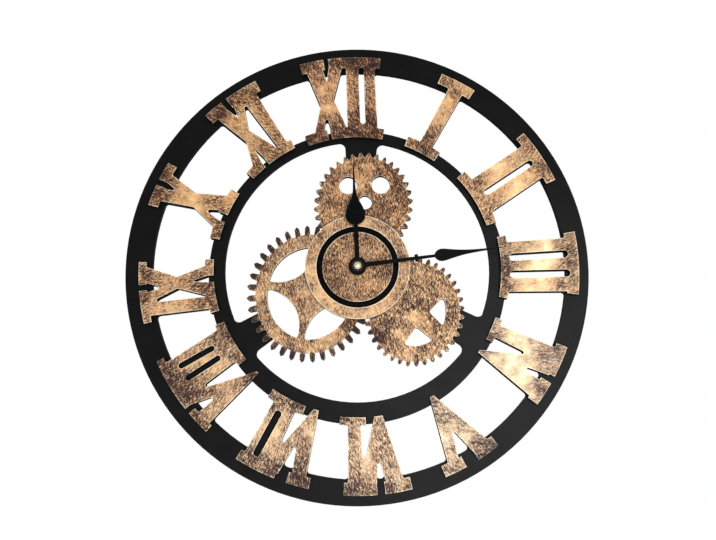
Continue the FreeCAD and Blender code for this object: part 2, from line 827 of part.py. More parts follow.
def cap():
    """Domed nut on the end of the minute arbor."""
    rise = cap_height * cap_dome_share
    dome_radius = (cap_radius ** 2 + rise ** 2) / (2 * rise)
    ball = Part.makeSphere(dome_radius, Vector(0, dome_radius - cap_back - cap_height, 0))
    dome = rod(cap_radius, cap_back, cap_back + cap_height).common(ball)
    return dome.cut(rod(minute_arbor_radius, cap_back, cap_back + cap_height / 2))


def minute_arbor():
    """Arbor of the minute hand with its pinion and its rear bore for the second arbor."""
    module = module_for(motion_distance, cannon_teeth, minute_wheel_teeth)
    shoulder = middle_plate_front + end_shake
    pieces = [rod(journal_radius, middle_plate_back, shoulder),
              rod(minute_arbor_radius, shoulder, cap_back + cap_height / 2),
              toothed(cannon_teeth, module, 0, cannon_level)]
    bore = rod(pivot_radius + running_clearance, middle_plate_back,
               middle_plate_back + pivot_length + end_shake)
    return fuse_all(pieces).cut(bore)


def motion_turns():
    """Turns at which the wheels behind the dial stand in mesh."""
    wheel = meshing_turn(0, cannon_teeth, minute_wheel_teeth, motion_angle)
    hour = meshing_turn(wheel, minute_pinion_teeth, hour_wheel_teeth, motion_angle + half_turn)
    knob = meshing_turn(wheel, minute_wheel_teeth, knob_pinion_teeth, knob_angle)
    return wheel, hour, knob


def hour_wheel():
    """Hour wheel with the tube that carries the hour hand."""
    module = module_for(motion_distance, minute_pinion_teeth, hour_wheel_teeth)
    pieces = [toothed(hour_wheel_teeth, module, motion_turns()[1], hour_level),
              rod(hour_tube_radius, hour_level, hour_hand_front)]
    return fuse_all(pieces).cut(
        rod(hour_tube_inner_radius, hour_level - wheel_thickness, hour_hand_front))


def minute_wheel():
    """Wheel and pinion that gear the minute arbor down to the hour wheel."""
    turn = motion_turns()[0]
    wheel_module = module_for(motion_distance, cannon_teeth, minute_wheel_teeth)
    pinion_module = module_for(motion_distance, minute_pinion_teeth, hour_wheel_teeth)
    pieces = [toothed(minute_wheel_teeth, wheel_module, turn, cannon_level, motion_centre),
              toothed(minute_pinion_teeth, pinion_module, turn, hour_level, motion_centre),
              rod(hub_radius, cannon_level, hour_level - wheel_thickness, motion_centre)]
    return fuse_all(pieces).cut(
        rod(stud_radius + running_clearance, cannon_level - wheel_thickness, hour_level,
            motion_centre))


def setting_knob():
    """Ribbed knob at the back that turns the hands through the minute wheel."""
    module = module_for(motion_distance, minute_wheel_teeth, knob_pinion_teeth)
    rim = []
    for rib in range(2 * knob_ribs):
        reach = knob_radius - knob_rib_depth * (rib % 2)
        rim.append(knob_centre + polar(reach, half_turn * rib / knob_ribs))
    pieces = [slab(face_of(rim), knob_recess, knob_recess + knob_thickness),
              rod(knob_shaft_radius, knob_recess + knob_thickness, case_inside - end_shake,
                  knob_centre),
              toothed(knob_pinion_teeth, module, motion_turns()[2], cannon_level, knob_centre)]
    return fuse_all(pieces)


def pinned_arbor(back, front, centre):
    """Arbor with a thin pivot at each end."""
    return [rod(pinion_arbor_radius, back, front, centre),
            rod(pivot_radius, back - pivot_length, front + pivot_length, centre)]


def centre_wheel():
    """Wheel that grips the minute arbor by friction."""
    module = module_for(third_distance, centre_wheel_teeth, third_pinion_teeth)
    return toothed(centre_wheel_teeth, module, 0, centre_level).cut(
        rod(minute_arbor_radius + running_clearance, centre_level - wheel_thickness, centre_level))


def third_wheel():
    """Third wheel; its pinion drives the centre wheel through the middle plate."""
    pinion_module = module_for(third_distance, centre_wheel_teeth, third_pinion_teeth)
    wheel_module = module_for(third_distance, third_wheel_teeth, second_pinion_teeth)
    pinion_turn = meshing_turn(0, centre_wheel_teeth, third_pinion_teeth, third_angle)
    pieces = [toothed(third_pinion_teeth, pinion_module, pinion_turn, centre_level, third_centre),
              toothed(third_wheel_teeth, wheel_module, 0, third_level, third_centre)]
    return fuse_all(pieces + pinned_arbor(bridge_front + end_shake, centre_level, third_centre))


def second_wheel():
    """Second wheel on the axis of the hands."""
    pinion_module = module_for(third_distance, third_wheel_teeth, second_pinion_teeth)
    wheel_module = module_for(fifth_distance, second_wheel_teeth, fifth_pinion_teeth)
    pinion_turn = meshing_turn(0, third_wheel_teeth, second_pinion_teeth, third_angle + half_turn)
    pieces = [toothed(second_pinion_teeth, pinion_module, pinion_turn, third_level),
              toothed(second_wheel_teeth, wheel_module, 0, second_level)]
    return fuse_all(pieces + pinned_arbor(bridge_front + end_shake,
                                          middle_plate_back - end_shake, Vector(0, 0, 0)))


def fifth_wheel():
    """Wheel between the rotor and the second wheel."""
    pinion_module = module_for(fifth_distance, second_wheel_teeth, fifth_pinion_teeth)
    wheel_module = module_for(rotor_distance, fifth_wheel_teeth, rotor_pinion_teeth)
    pinion_turn = meshing_turn(0, second_wheel_teeth, fifth_pinion_teeth, fifth_angle)
    pieces = [toothed(fifth_pinion_teeth, pinion_module, pinion_turn, second_level, fifth_centre),
              toothed(fifth_wheel_teeth, wheel_module, 0, fifth_level, fifth_centre)]
    return fuse_all(pieces + pinned_arbor(bridge_front + end_shake,
                                          middle_plate_back - end_shake, fifth_centre))


def rotor():
    """Arbor of the stepping motor with its pinion; the magnet is pressed on behind."""
    module = module_for(rotor_distance, fifth_wheel_teeth, rotor_pinion_teeth)
    turn = meshing_turn(0, fifth_wheel_teeth, rotor_pinion_teeth, rotor_angle)
    pieces = [toothed(rotor_pinion_teeth, module, turn, fifth_level, rotor_centre)]
    return fuse_all(pieces + pinned_arbor(bridge_front + end_shake,
                                          middle_plate_back - end_shake, rotor_centre))


def rotor_magnet():
    """Disc magnet on the rotor arbor."""
    return tube(magnet_radius, pinion_arbor_radius, magnet_level - magnet_thickness, magnet_level,
                rotor_centre)


def middle_plate():
    """Plate between the wheels, with the pillars that carry the train bridge."""
    reach = pillar_radius + pillar_rim
    plate = block(pillar_left - reach, plate_right, pillar_low - reach, pillar_high + reach,
                  middle_plate_back, middle_plate_front)
    pillars = [rod(pillar_radius, bridge_front, middle_plate_back, place)
               for place in plate_pillars]
    plate = fuse_all([plate] + pillars)
    holes = [rod(journal_radius + running_clearance, middle_plate_back, middle_plate_front),
             rod(pinion_arbor_radius + running_clearance, middle_plate_back, middle_plate_front,
                 third_centre)]
    holes += [rod(pivot_radius + running_clearance, middle_plate_back, middle_plate_front, place)
              for place in (fifth_centre, rotor_centre)]
    for hole in holes:
        plate = plate.cut(hole)
    return plate


def train_bridge():
    """Rear plate that holds the back pivots of the train."""
    reach = pillar_radius + pillar_rim
    bridge = block(pillar_left - reach, bridge_right, pillar_low - reach, pillar_high + reach,
                   bridge_back, bridge_front)
    for place in (Vector(0, 0, 0), third_centre, fifth_centre, rotor_centre):
        bridge = bridge.cut(rod(pivot_radius + running_clearance, bridge_back, bridge_front, place))
    return bridge


def stator():
    """Iron plate round the magnet, with two arms that lead to the coil core."""
    back = magnet_level - magnet_thickness / 2 - stator_thickness / 2
    front = back + stator_thickness
    low = rotor_centre.z - stator_half_width
    high = rotor_centre.z + stator_half_width
    right = rotor_centre.x + stator_half_width
    core_low = coil_low - core_overhang
    core_high = coil_high + core_overhang
    arm = stator_arm_width
    plate = block(rotor_centre.x - stator_half_width, right, low, high, back, front)
    end = coil_x + arm / 2
    arms = [block(right - arm, right, high, core_high, back, front),
            block(right - arm, end, core_high - arm, core_high, back, front),
            block(right - arm, right, core_low, low, back, front),
            block(right - arm, end, core_low, core_low + arm, back, front)]
    iron = fuse_all([plate] + arms)
    return iron.cut(rod(magnet_radius + stator_gap, back, front, rotor_centre)), front


def coil_core(back):
    """Iron bar through the coil, laid on the two arms of the stator."""
    return block(coil_x - core_width / 2, coil_x + core_width / 2, coil_low - core_overhang,
                 coil_high + core_overhang, back, back + core_thickness)


def coil(core):
    """Bobbin and winding on the core."""
    centre_depth = -core.CenterOfMass.y
    base = Vector(coil_x, -centre_depth, coil_low)
    length = coil_high - coil_low
    winding = Part.makeCylinder(coil_radius, length, base, Vector(0, 0, 1))
    flanges = [Part.makeCylinder(coil_flange_radius, coil_flange_thickness,
                                 base + Vector(0, 0, lift), Vector(0, 0, 1))
               for lift in (0, length - coil_flange_thickness)]
    return fuse_all([winding] + flanges).cut(core)


def circuit_board():
    """Board that carries the chip and the crystal."""
    return block(circuit_x - circuit_width / 2, circuit_x + circuit_width / 2,
                 circuit_z - circuit_height / 2, circuit_z + circuit_height / 2,
                 circuit_back, circuit_front)


def chip():
    """Round sealed chip on the back of the board."""
    place = Vector(circuit_x, 0, circuit_z + chip_radius / 2)
    return rod(chip_radius, circuit_back - chip_height, circuit_back, place)


def crystal():
    """Crystal can that lies on the back of the board."""
    start = Vector(circuit_x - crystal_length / 2, -(circuit_back - crystal_radius),
                   circuit_z - circuit_height / 2 + 2 * crystal_radius)
    return Part.makeCylinder(crystal_radius, crystal_length, start, Vector(1, 0, 0))


def battery():
    """Round cell that lies across the bay, nub to the right."""
    nub_end = half_inside - contact_thickness
    start = nub_end - battery_length
    body_length = battery_length - battery_nub_length
    base = Vector(start, -battery_depth, battery_z)
    body = Part.makeCylinder(battery_radius, body_length, base, Vector(1, 0, 0))
    body = body.makeChamfer(battery_edge, [edge for edge in body.Edges if len(edge.Vertexes) == 1])
    nub = Part.makeCylinder(battery_nub_radius, battery_nub_length,
                            base + Vector(body_length, 0, 0), Vector(1, 0, 0))
    return fuse_all([body, nub])


def contact(side):
    """Contact plate at one end of the bay with its strip up to the circuit board."""
    outer = side * half_inside
    inner = outer - side * contact_thickness
    x_low, x_high = sorted((outer, inner))
    strip_back = battery_depth - contact_strip_width / 2
    strip_front = battery_depth + contact_strip_width / 2
    plate = block(x_low, x_high, battery_z - contact_height / 2, battery_z + contact_height / 2,
                  battery_depth - contact_width / 2, battery_depth + contact_width / 2)
    riser_top = bay_wall_height + (contact_thickness if side > 0 else strip_tab)
    riser = block(x_low, x_high, battery_z, riser_top, strip_back, strip_front)
    return plate, riser, strip_back, strip_front


def positive_contact():
    """Plate under the nub, with a strip that runs along the bay wall to the board."""
    plate, riser, strip_back, strip_front = contact(1)
    strip_top = bay_wall_height + contact_thickness
    run = block(circuit_x - contact_strip_width / 2, half_inside, bay_wall_height, strip_top,
                strip_back, strip_front)
    tab = block(circuit_x - contact_strip_width / 2, circuit_x + contact_strip_width / 2,
                bay_wall_height, bay_wall_height + contact_strip_width, circuit_front,
                circuit_front + contact_thickness)
    return fuse_all([plate, riser, run, tab])


def negative_contact():
    """Plate with a bent leaf that presses on the flat end of the battery."""
    plate, riser, strip_back, strip_front = contact(-1)
    wall = -half_inside + contact_thickness
    crest = half_inside - contact_thickness - battery_length
    spread = contact_leaf_width / 2
    leaf = face_of([Vector(wall, 0, battery_z - spread - contact_thickness),
                    Vector(crest, 0, battery_z - contact_thickness),
                    Vector(crest, 0, battery_z + contact_thickness),
                    Vector(wall, 0, battery_z + spread + contact_thickness),
                    Vector(wall, 0, battery_z + spread),
                    Vector(crest - contact_thickness, 0, battery_z),
                    Vector(wall, 0, battery_z - spread)])
    tab_height = bay_wall_height + strip_tab
    tab = block(-half_inside, circuit_x - circuit_width / 4, tab_height - contact_thickness,
                tab_height + contact_thickness, circuit_front, circuit_front + contact_thickness)
    return fuse_all([plate, riser, slab(leaf, strip_back, strip_front), tab])


def save(name, shape):
    """Write one piece, or a group of like pieces, to its own file."""
    shape.exportStep("parts/" + name + ".step")


os.makedirs("parts", exist_ok=True)

blanks = []
for name, numeral in numerals.items():
    blank = numeral_blank(numeral, board_front, overlay_front)
    save("numeral_" + name, cut_slots(blank, numeral, board_front, overlay_front))
    backing = numeral_blank(numeral, board_back, board_front)
    if numeral.get("open"):
        backing = cut_slots(backing, numeral, board_back, board_front)
    blanks.append(backing)
save("dial_board", dial_board(blanks))

spacer_room = rod(spacer_radius + gear_gap, board_front, overlay_front)
left_room = slab(gear_outline(fixed_gears["left_gear"], gear_gap), board_front, overlay_front)
save("left_gear", fixed_gear("left_gear", spacer_room))
save("top_gear", fixed_gear("top_gear", left_room.fuse(spacer_room)))
save("right_gear", fixed_gear("right_gear", left_room.fuse(spacer_room)))
save("hub_spacer", tube(spacer_radius, bush_radius, board_front, overlay_front))
save("centre_disc", tube(centre_disc_radius, bush_radius, overlay_front, centre_disc_front))
save("centre_rim", tube(centre_disc_radius, centre_rim_inner_radius, centre_disc_front, centre_front))
save("centre_plate", tube(centre_plate_radius, bush_radius, centre_disc_front, centre_front))

save("movement_case", movement_case())
save("back_cover", back_cover())
save("threaded_bush", bush())
save("rubber_washer", tube(washer_radius, bush_radius, case_depth, board_front))
save("brass_washer", tube(brass_washer_radius, bush_radius, centre_front, brass_washer_front))
save("hex_nut", hex_nut())

save("hour_hand", hour_hand())
save("minute_hand", minute_hand())
save("hand_cap", cap())
save("minute_arbor", minute_arbor())
save("hour_wheel", hour_wheel())
save("minute_wheel", minute_wheel())
save("setting_knob", setting_knob())
save("centre_wheel", centre_wheel())
save("third_wheel", third_wheel())
save("second_wheel", second_wheel())
save("fifth_wheel", fifth_wheel())
save("rotor", rotor())
save("rotor_magnet", rotor_magnet())
save("middle_plate", middle_plate())
save("train_bridge", train_bridge())

iron, iron_front = stator()
core = coil_core(iron_front)
save("stator", iron)
save("coil_core", core)
save("coil", coil(core))
save("circuit_board", circuit_board())
save("chip", chip())
save("crystal", crystal())
save("battery", battery())
save("positive_contact", positive_contact())
save("negative_contact", negative_contact())
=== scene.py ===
"""Looks of the skeleton wall clock.

Materials for every CAD piece, the light, the floor and the camera. Patterns are drawn on a piece's
own coordinates in millimetres, so they stay on it while it turns.
"""

import math

import bpy
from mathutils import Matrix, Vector


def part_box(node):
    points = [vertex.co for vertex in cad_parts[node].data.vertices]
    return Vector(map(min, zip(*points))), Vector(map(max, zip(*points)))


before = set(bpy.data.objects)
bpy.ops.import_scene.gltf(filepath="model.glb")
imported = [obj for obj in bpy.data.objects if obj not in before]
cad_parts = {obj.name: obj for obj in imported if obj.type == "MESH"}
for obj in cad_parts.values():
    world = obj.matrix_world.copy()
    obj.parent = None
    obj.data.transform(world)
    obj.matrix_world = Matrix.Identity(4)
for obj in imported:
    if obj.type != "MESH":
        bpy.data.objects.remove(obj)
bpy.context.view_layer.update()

millimetres = 1000.0


def rgb(red, green, blue):
    """A colour as it shows in a picture, 0 to 255, as the renderer's linear colour."""
    def linear(value):
        share = value / 255.0
        return share / 12.92 if share <= 0.04045 else ((share + 0.055) / 1.055) ** 2.4
    return (linear(red), linear(green), linear(blue), 1.0)


# Camera, found from the photograph: metres and degrees
photo_width = 716
focal_pixels = 967.0
sensor_width = 36.0
camera_target = Vector((0.000429, -0.018, -0.001129))
camera_distance = 0.83513
camera_azimuth = -0.468
camera_elevation = -9.797

# Floor: metres, and shares of white; its dust in millimetres
floor_height = -0.62
floor_reach = 6.0
floor_shade = 0.72
floor_dust_shade = 0.74
floor_dust_size = 60.0
floor_rough = 0.9
floor_specular = 0.2

# Light: shares of white, as it falls on the clock and as the camera sees it
white = (1.0, 1.0, 1.0, 1.0)
world_level = 0.31
background_level = 1.0
floor_glow = 0.80

# Lamps that look at the hub: place and side in metres, power in watts
lamps = {
    "key_light": ((-0.55, -1.30, -0.60), 0.45, 9.4),
    "sheen_light": ((0.38, -1.35, -0.10), 0.80, 12.0),
    "back_light": ((0.45, 1.50, 0.70), 1.00, 12.0),
}

# Bronze overlay: gold paint brushed over a dark ground, edges pale with wear and painted highlight,
# black walls
bronze_tones = [
    (0.00, rgb(52, 38, 34)),
    (0.25, rgb(104, 80, 66)),
    (0.50, rgb(164, 129, 100)),
    (0.75, rgb(215, 174, 129)),
    (1.00, rgb(238, 212, 166)),
]
# Pale line along the front edges: partly worn paint, partly painted highlight
edge_wear_and_highlight_cream = rgb(243, 230, 202)
wall_black = rgb(20, 17, 15)
warm_tint = (1.03, 0.95, 0.88, 1.0)
cool_tint = (0.95, 1.03, 1.08, 1.0)
bronze_metal = 0.22
bronze_specular = 0.08

# Walls and faces: cosines of a surface's angle to the clock's axis
wall_cosine, face_cosine = 0.55, 0.85

# Edges and even ground: cosines of a surface's angle to itself with its edges rounded off
edge_cosine, even_cosine = 0.80, 0.985
edge_samples = 6

# Brushwork of the bronze: sizes in millimetres, angles in degrees, weights in the pattern
upright_length, upright_width, upright_weight = 3.4, 0.85, 0.42
leaning_length, leaning_width, leaning_weight = 3.0, 0.90, 0.30
grain_size, grain_weight = 1.0, 0.28
stroke_crossing = 38.0
patch_size = 9.0
cloud_size, cloud_weight = 30.0, 0.9
tint_size = 6.0

# Tones up to which a place is brown and from which it is golden, and the strokes' depth there
brown_tone, gold_tone = 0.30, 0.80
brown_depth, gold_depth = 5.2, 1.3

# How far each step of a seed moves the patterns, in millimetres across and up
stroke_drift = (3.7, 5.3)
patch_drift = (11.0, -23.0)
cloud_drift = (31.0, 17.0)
tint_drift = (7.0, 13.0)

# What bronze has where its piece asks for nothing else
default_patches = 0.9
default_lean = -12.0
usual_tone = 0.05

# Numerals: radius of the ring that their middles lie on, and how far out of it they are
# fully golden and fully brown, millimetres; lean of their brush strokes at twelve, degrees
numeral_ring = 156.0
golden_reach = 6.0
brown_reach = 30.0
numeral_lean = 8.0
hour_angle = 30.0

# Gears: lean of their artwork in degrees, and the share of its size over which teeth darken
gear_lean = 8.0
tooth_fade = 0.10

# Hands: the collar whose edge has a pale line, partly worn paint and partly painted highlight,
# millimetres
collar_radius = 5.4

# Battery sleeve: lengths from the cell's ends in millimetres
nub_length = 2.2
nub_fade = 0.3
flat_end_from = 0.3
flat_end_to = 0.5
band_length = 14.0
band_fade = 0.4


class Shades:
    """Builds one material's nodes: every call adds a node and gives back its output."""

    def __init__(self, name):
        self.material = bpy.data.materials.new(name)
        self.material.use_nodes = True
        self.tree = self.material.node_tree
        self.shader = self.tree.nodes["Principled BSDF"]
        coordinates = self.tree.nodes.new("ShaderNodeTexCoord")
        self.place = self.mapped(coordinates.outputs["Object"], scale=(millimetres,) * 3)

    def put(self, socket, value):
        """Link an output or set a plain value."""
        if isinstance(value, bpy.types.NodeSocket):
            self.tree.links.new(value, socket)
        else:
            socket.default_value = value

    def mapped(self, source, scale=(1, 1, 1), turn=0.0, shift=(0, 0, 0)):
        """Coordinates turned about the clock's axis in degrees, shifted and then scaled."""
        turned = self.tree.nodes.new("ShaderNodeMapping")
        turned.inputs["Rotation"].default_value = (0, math.radians(turn), 0)
        turned.inputs["Location"].default_value = shift
        self.tree.links.new(source, turned.inputs["Vector"])
        if tuple(scale) == (1, 1, 1):
            return turned.outputs[0]
        sized = self.tree.nodes.new("ShaderNodeMapping")
        sized.inputs["Scale"].default_value = scale
        self.tree.links.new(turned.outputs[0], sized.inputs["Vector"])
        return sized.outputs[0]

    def noise(self, size, detail=2.0, rough=0.5, source=None):
        """Cloudy pattern with features of the given size in millimetres."""
        node = self.tree.nodes.new("ShaderNodeTexNoise")
        self.put(node.inputs["Vector"], source or self.place)
        node.inputs["Scale"].default_value = 1.0 / size
        node.inputs["Detail"].default_value = detail
        node.inputs["Roughness"].default_value = rough
        return node.outputs["Fac"]

    def strokes(self, length, width, turn, shift=(0, 0, 0)):
        """Brush marks of a length and width in millimetres, turned from upright."""
        stretched = self.mapped(self.place, (1 / width, 1 / width, 1 / length), turn, shift)
        return self.noise(1.0, rough=0.55, source=stretched)

    def maths(self, kind, first, second=0.0, third=0.0, clamp=False):
        """One step of arithmetic."""
        node = self.tree.nodes.new("ShaderNodeMath")
        node.operation = kind
        node.use_clamp = clamp
        self.put(node.inputs[0], first)
        self.put(node.inputs[1], second)
        self.put(node.inputs[2], third)
        return node.outputs[0]

    def total(self, *parts):
        """Sum of values, each times its weight."""
        result = 0.0
        for value, weight in parts:
            result = self.maths("MULTIPLY_ADD", value, weight, result)
        return result

    def ramp(self, value, low=0.3, high=0.7, to_low=0.0, to_high=1.0):
        """Value stretched from one range to another and kept inside it."""
        node = self.tree.nodes.new("ShaderNodeMapRange")
        node.interpolation_type = "SMOOTHSTEP"
        self.put(node.inputs["Value"], value)
        node.inputs["From Min"].default_value = low
        node.inputs["From Max"].default_value = high
        node.inputs["To Min"].default_value = to_low
        node.inputs["To Max"].default_value = to_high
        return node.outputs["Result"]

    def colours(self, value, stops):
        """Colour ramp from a list of places and colours."""
        node = self.tree.nodes.new("ShaderNodeValToRGB")
        band = node.color_ramp
        while len(band.elements) < len(stops):
            band.elements.new(0.5)
        for element, (spot, colour) in zip(band.elements, stops):
            element.position = spot
            element.color = colour
        self.put(node.inputs["Fac"], value)
        return node.outputs["Color"]

    def between(self, value, dark, light, low=0.3, high=0.7):
        """Dark where the value is low, light where it is high."""
        return self.colours(value, [(low, dark), (high, light)])

    def mix(self, share, first, second, kind="MIX"):
        """Two colours mixed by a share."""
        node = self.tree.nodes.new("ShaderNodeMix")
        node.data_type = "RGBA"
        node.blend_type = kind
        self.put(node.inputs[0], share)
        self.put(node.inputs[6], first)
        self.put(node.inputs[7], second)
        return node.outputs[2]

    def tinted(self, colour, tint):
        """Colour multiplied by a tint."""
        return self.mix(1.0, colour, tint, "MULTIPLY")

    def distance(self, centre=(0, 0), wide=1.0, high=1.0, turn=0.0):
        """Distance from a point of the dial as a share of a leaning half width and half height."""
        local = self.mapped(self.place, shift=(-centre[0], 0, -centre[1]))
        local = self.mapped(local, (1 / wide, 0, 1 / high), -turn)
        length = self.tree.nodes.new("ShaderNodeVectorMath")
        length.operation = "LENGTH"
        self.tree.links.new(local, length.inputs[0])
        return length.outputs["Value"]

    def flat(self, kind, factor=0.0):
        """1 on faces across the clock's axis, 0 on the walls of a cut piece."""
        geometry = self.tree.nodes.new("ShaderNodeNewGeometry")
        split = self.tree.nodes.new("ShaderNodeSeparateXYZ")
        self.tree.links.new(geometry.outputs["True Normal"], split.inputs[0])
        along = self.maths(kind, split.outputs[1], factor)
        return self.ramp(along, wall_cosine, face_cosine)

    def facing(self):
        """1 on faces that look out of the wall or at it, 0 elsewhere."""
        return self.flat("ABSOLUTE")

    def front(self):
        """1 on faces that look out of the wall, 0 elsewhere."""
        return self.flat("MULTIPLY", -1.0)

    def dull_walls(self, face, rough):
        """Roughness of the faces, and fully rough walls where the face value is 0."""
        return self.maths("MULTIPLY_ADD", face, self.maths("SUBTRACT", rough, 1.0), 1.0)

    def edge(self, width, strength):
        """The strength along sharp edges, fading over the width in millimetres."""
        bevel = self.tree.nodes.new("ShaderNodeBevel")
        bevel.samples = edge_samples
        bevel.inputs["Radius"].default_value = width / millimetres
        geometry = self.tree.nodes.new("ShaderNodeNewGeometry")
        product = self.tree.nodes.new("ShaderNodeVectorMath")
        product.operation = "DOT_PRODUCT"
        self.tree.links.new(bevel.outputs[0], product.inputs[0])
        self.tree.links.new(geometry.outputs["True Normal"], product.inputs[1])
        along = self.ramp(product.outputs["Value"], edge_cosine, even_cosine, 1.0, 0.0)
        return self.maths("MULTIPLY", along, strength)

    def bump(self, height, strength, depth):
        """Surface relief from a pattern; the depth is in millimetres."""
        node = self.tree.nodes.new("ShaderNodeBump")
        node.inputs["Strength"].default_value = strength
        node.inputs["Distance"].default_value = depth / millimetres
        self.put(node.inputs["Height"], height)
        return node.outputs[0]

    def finish(self, colour, rough, relief=None, metal=0.0, specular=0.5):
        """Connect the colours to the shader and give back the material."""
        self.put(self.shader.inputs["Base Color"], colour)
        self.put(self.shader.inputs["Roughness"], rough)
        self.put(self.shader.inputs["Metallic"], metal)
        self.shader.inputs["Specular IOR Level"].default_value = specular
        if relief is not None:
            self.put(self.shader.inputs["Normal"], relief)
        return self.material


def worn_ends(depth):
    """Wear of a numeral, growing by the depth from its middle towards both ends."""
    def wear(shades):
        away = shades.maths("ABSOLUTE", shades.maths("SUBTRACT", shades.distance(), numeral_ring))
        return shades.ramp(away, golden_reach, brown_reach, 0.0, depth)
    return wear


def worn_teeth(centre, half_width, half_height, start, depth):
    """Wear of a gear by the depth, outside the start share of its leaning outline."""
    def wear(shades):
        share = shades.distance(centre, half_width, half_height, gear_lean)
        return shades.ramp(share, start, start + tooth_fade, 0.0, depth)
    return wear


def bronze(name, seed, gold, hatch=1.0, edge_width=1.5, wear=None, lean=default_lean,
           green=1.0, blue=1.0, patches=default_patches):
    """Dry-brushed bronze: gold lifts the piece, hatch deepens its strokes, wear darkens it.

    Green and blue shift its hue: below one it turns redder, above one it turns paler.
    Patches sets how strongly it is clouded, and the seed takes its own part of the patterns.
    """
    shades = Shades(name)

    def drifted(step):
        return (seed * step[0], 0, seed * step[1])

    def apart(step):
        return shades.mapped(shades.place, shift=drifted(step))

    drift = drifted(stroke_drift)
    upright = shades.strokes(upright_length, upright_width, lean, drift)
    leaning = shades.strokes(leaning_length, leaning_width, lean + stroke_crossing, drift)
    grain = shades.noise(grain_size, rough=0.6)
    patch = shades.noise(patch_size, source=apart(patch_drift))
    cloud = shades.noise(cloud_size, detail=1.0, source=apart(cloud_drift))
    fine = shades.total((upright, upright_weight), (leaning, leaning_weight), (grain, grain_weight))
    slow = shades.total((patch, patches), (cloud, cloud_weight),
                        (gold + usual_tone - patches * 0.5, 1.0))
    if wear is not None:
        slow = shades.maths("SUBTRACT", slow, wear(shades))
    depth = shades.ramp(slow, brown_tone, gold_tone, brown_depth * hatch, gold_depth * hatch)
    tone = shades.maths("MULTIPLY_ADD", shades.maths("SUBTRACT", fine, 0.5), depth, slow)

    tint = shades.noise(tint_size, detail=3.0, rough=0.6, source=apart(tint_drift))
    paint = shades.tinted(shades.colours(tone, bronze_tones), (1.0, green, blue, 1.0))
    paint = shades.tinted(paint, shades.between(tint, warm_tint, cool_tint, low=0.36, high=0.64))
    # Pale line along the front edges, stronger where the paint is golden: partly worn paint, partly
    # painted highlight
    edge_wear_and_highlight = shades.ramp(slow, low=0.10, high=0.40, to_low=0.12, to_high=0.95)
    rim = shades.edge(edge_width, edge_wear_and_highlight)
    paint = shades.mix(rim, paint, edge_wear_and_highlight_cream)
    paint = shades.mix(shades.front(), wall_black, paint)
    rough = shades.ramp(tone, low=0.0, high=1.0, to_low=0.62, to_high=0.40)
    return shades.finish(paint, shades.dull_walls(shades.front(), rough),
                         shades.bump(fine, strength=0.30, depth=0.10),
                         shades.maths("MULTIPLY", shades.front(), bronze_metal), bronze_specular)


def black_board(name, dark, light, specular):
    """Board painted satin black, a little dusty, with a faint orange peel."""
    shades = Shades(name)
    mottle = shades.noise(18.0, detail=3.0, rough=0.55)
    speck = shades.noise(0.9, rough=0.6)
    tone = shades.total((mottle, 0.6), (speck, 0.4))
    paint = shades.mix(shades.facing(), rgb(9, 8, 8), shades.between(tone, dark, light))
    paint = shades.mix(shades.edge(width=0.5, strength=0.08), paint, rgb(60, 57, 54))
    rough = shades.dull_walls(shades.facing(), shades.ramp(mottle, to_low=0.27, to_high=0.34))
    return shades.finish(paint, rough, shades.bump(speck, strength=0.20, depth=0.06),
                         specular=specular)


def gloss_black(name):
    """Painted sheet metal of the hands, pale at the edge of the collar: partly worn paint, partly
    painted highlight.
    """
    shades = Shades(name)
    peel = shades.noise(1.6)
    haze = shades.noise(14.0)
    collar = shades.distance(wide=collar_radius, high=collar_radius)
    # Pale line on the collar's edge: partly paint worn to the metal, partly painted highlight
    edge_wear_and_highlight = shades.edge(0.5, shades.ramp(collar, low=0.95, high=1.0, to_low=0.55, to_high=0.06))
    paint = shades.mix(edge_wear_and_highlight, shades.between(haze, rgb(2, 2, 3), rgb(6, 5, 6)), rgb(150, 144, 134))
    rough = shades.dull_walls(shades.facing(), shades.ramp(haze, to_low=0.24, to_high=0.34))
    return shades.finish(paint, rough, shades.bump(peel, strength=0.15, depth=0.05),
                         specular=0.03)


def plastic(name, dark, light, rough, fine=0.5, specular=0.4):
    """Moulded plastic with a fine spark-eroded texture."""
    shades = Shades(name)
    texture = shades.noise(fine, detail=3.0, rough=0.6)
    tone = shades.total((texture, 0.45), (shades.noise(9.0), 0.55))
    paint = shades.between(tone, dark, light, low=0.32, high=0.68)
    paint = shades.mix(shades.edge(width=0.25, strength=0.12), paint, light)
    rough = shades.ramp(texture, to_low=rough - 0.06, to_high=rough + 0.08)
    return shades.finish(paint, rough, shades.bump(texture, strength=0.3, depth=0.06),
                         specular=specular)


def turned_metal(name, dark, light, rough):
    """Metal with fine marks from the tool and a slightly uneven tarnish."""
    shades = Shades(name)
    marks = shades.strokes(length=6.0, width=0.12, turn=90.0)
    tone = shades.total((marks, 0.45), (shades.noise(3.5, detail=3.0), 0.55))
    paint = shades.mix(shades.edge(width=0.15, strength=0.35),
                       shades.between(tone, dark, light), light)
    rough = shades.ramp(marks, to_low=rough - 0.05, to_high=rough + 0.08)
    return shades.finish(paint, rough, shades.bump(marks, strength=0.12, depth=0.02), metal=1.0)


def winding(name):
    """Enamelled wire wound on the bobbin, one turn beside the next."""
    shades = Shades(name)
    wave = shades.tree.nodes.new("ShaderNodeTexWave")
    wave.wave_type = "BANDS"
    wave.bands_direction = "Z"
    wave.inputs["Scale"].default_value = 1.6
    wave.inputs["Distortion"].default_value = 0.4
    shades.tree.links.new(shades.place, wave.inputs["Vector"])
    turns = wave.outputs["Fac"]
    cloud = shades.noise(2.5)
    tone = shades.total((turns, 0.6), (cloud, 0.4))
    paint = shades.between(tone, rgb(96, 42, 20), rgb(206, 118, 62), low=0.25, high=0.75)
    rough = shades.ramp(cloud, to_low=0.24, to_high=0.36)
    return shades.finish(paint, rough, shades.bump(turns, strength=0.5, depth=0.08), metal=0.6)


